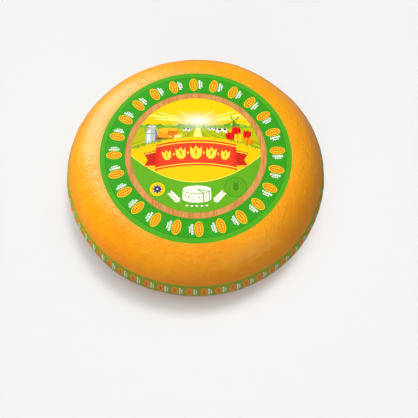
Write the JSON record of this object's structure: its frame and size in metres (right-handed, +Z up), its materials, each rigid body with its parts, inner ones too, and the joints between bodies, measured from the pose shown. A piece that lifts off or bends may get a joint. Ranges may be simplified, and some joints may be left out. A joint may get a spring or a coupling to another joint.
{
  "type": "cheese wheel",
  "caption": "Whole round semi-hard cheese with two flat faces and a bulging side, a round printed label on its upper face and a printed paper band round its rim.",
  "frame": {"origin": "centre of the flat face that the cheese rests on", "axes": "+Z up through the middle of the wheel to its labelled face; -Y towards the foot of the label's picture"},
  "size_m": [0.3512, 0.3518, 0.1026],
  "materials": {
    "cheese_coating": "satin food-grade coating on cheese, slightly pebbled",
    "label_paper": "printed coated paper, satin",
    "band_paper": "printed coated paper, satin"
  },
  "bodies": {
    "root": {"cheese_wheel": "cheese_coating", "top_label": "label_paper", "rim_band": "band_paper"}
  },
  "joints": []
}
